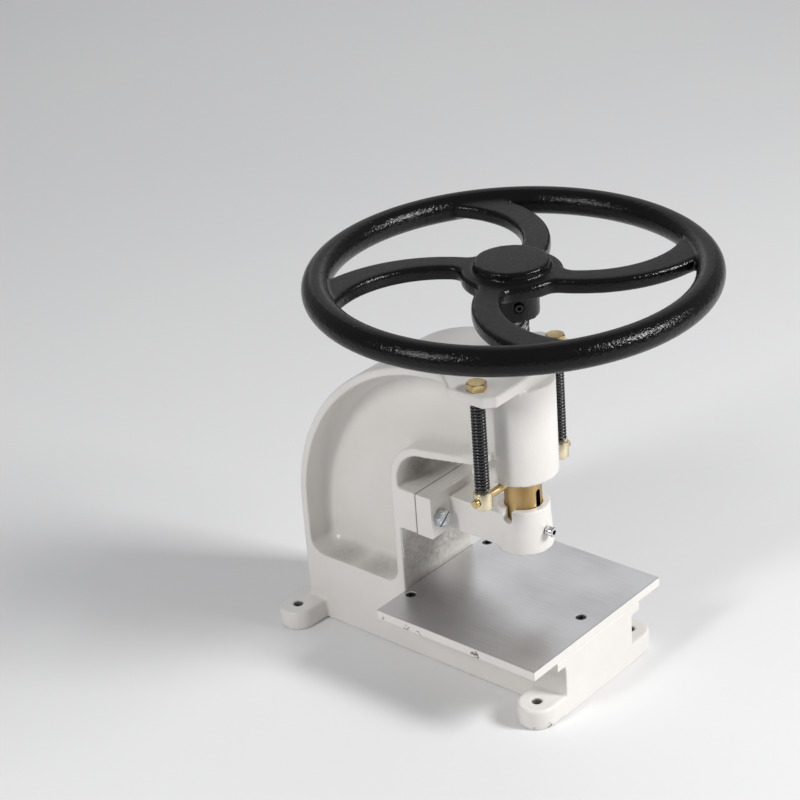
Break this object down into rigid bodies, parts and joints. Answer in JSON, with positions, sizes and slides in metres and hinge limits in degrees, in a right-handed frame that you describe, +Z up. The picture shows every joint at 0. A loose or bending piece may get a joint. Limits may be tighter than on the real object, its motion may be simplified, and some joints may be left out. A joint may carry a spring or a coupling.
{
  "type": "hand wheel die cutting press",
  "caption": "Bench-top cutting press: a cast C frame with a hand wheel on a steep screw that drives a sprung, keyed ram down onto a flat steel table.",
  "frame": {"origin": "centre of the four bench holes, on the underside of the base", "axes": "+X to the right of an operator who stands in front of the table looking along +Y, -Y to the front, +Z up"},
  "size_m": [0.4, 0.472, 0.451],
  "materials": {
    "frame_paint": "cream gloss paint on cast iron",
    "wheel_paint": "black gloss paint on rough cast iron",
    "table_steel": "ground",
    "black_steel": "black oxide",
    "bright_zinc": "bright zinc plated",
    "chrome": "polished",
    "bronze": "machined bronze",
    "ram_brass": "yellow passivated, satin",
    "yellow_zinc": "yellow zinc plated",
    "pale_zinc": "pale yellow zinc plated",
    "spindle_steel": "machined and oiled"
  },
  "bodies": {
    "frame": {"frame_casting": "frame_paint", "cutting_table": "table_steel", "table_screws": "black_steel", "guide_bracket": "frame_paint", "bracket_bolts": "bright_zinc", "guide_screw": "chrome", "lead_nut": "bronze", "nut_lock_screw": "black_steel", "left_spring_bolt": "yellow_zinc", "right_spring_bolt": "yellow_zinc", "left_spring": "black_steel", "right_spring": "black_steel"},
    "ram": {"ram": "ram_brass", "thrust_washer": "bronze", "retaining_screws": "black_steel", "cross_pin": "yellow_zinc", "left_spring_collar": "pale_zinc", "right_spring_collar": "pale_zinc"},
    "handwheel": {"handwheel": "wheel_paint", "spindle": "spindle_steel", "hub_key": "spindle_steel", "hub_set_screw": "bright_zinc"}
  },
  "joints": [
    {"name": "ram_slide", "type": "slide", "parent": "frame", "child": "ram", "axis": [0, 0, -1], "range_m": [0, 0.04], "stiffness_N_per_m": 4000, "springref_m": -0.05, "deforming": ["left_spring", "right_spring"]},
    {"name": "wheel_spin", "type": "hinge", "parent": "ram", "child": "handwheel", "pos_m": [0, -0.092, 0.435], "axis": [0, 0, -1], "range_deg": [0, 299.9]}
  ],
  "couplings": [
    {"joint": "ram_slide", "follows": "wheel_spin", "m_per_rad": 0.0076394}
  ]
}
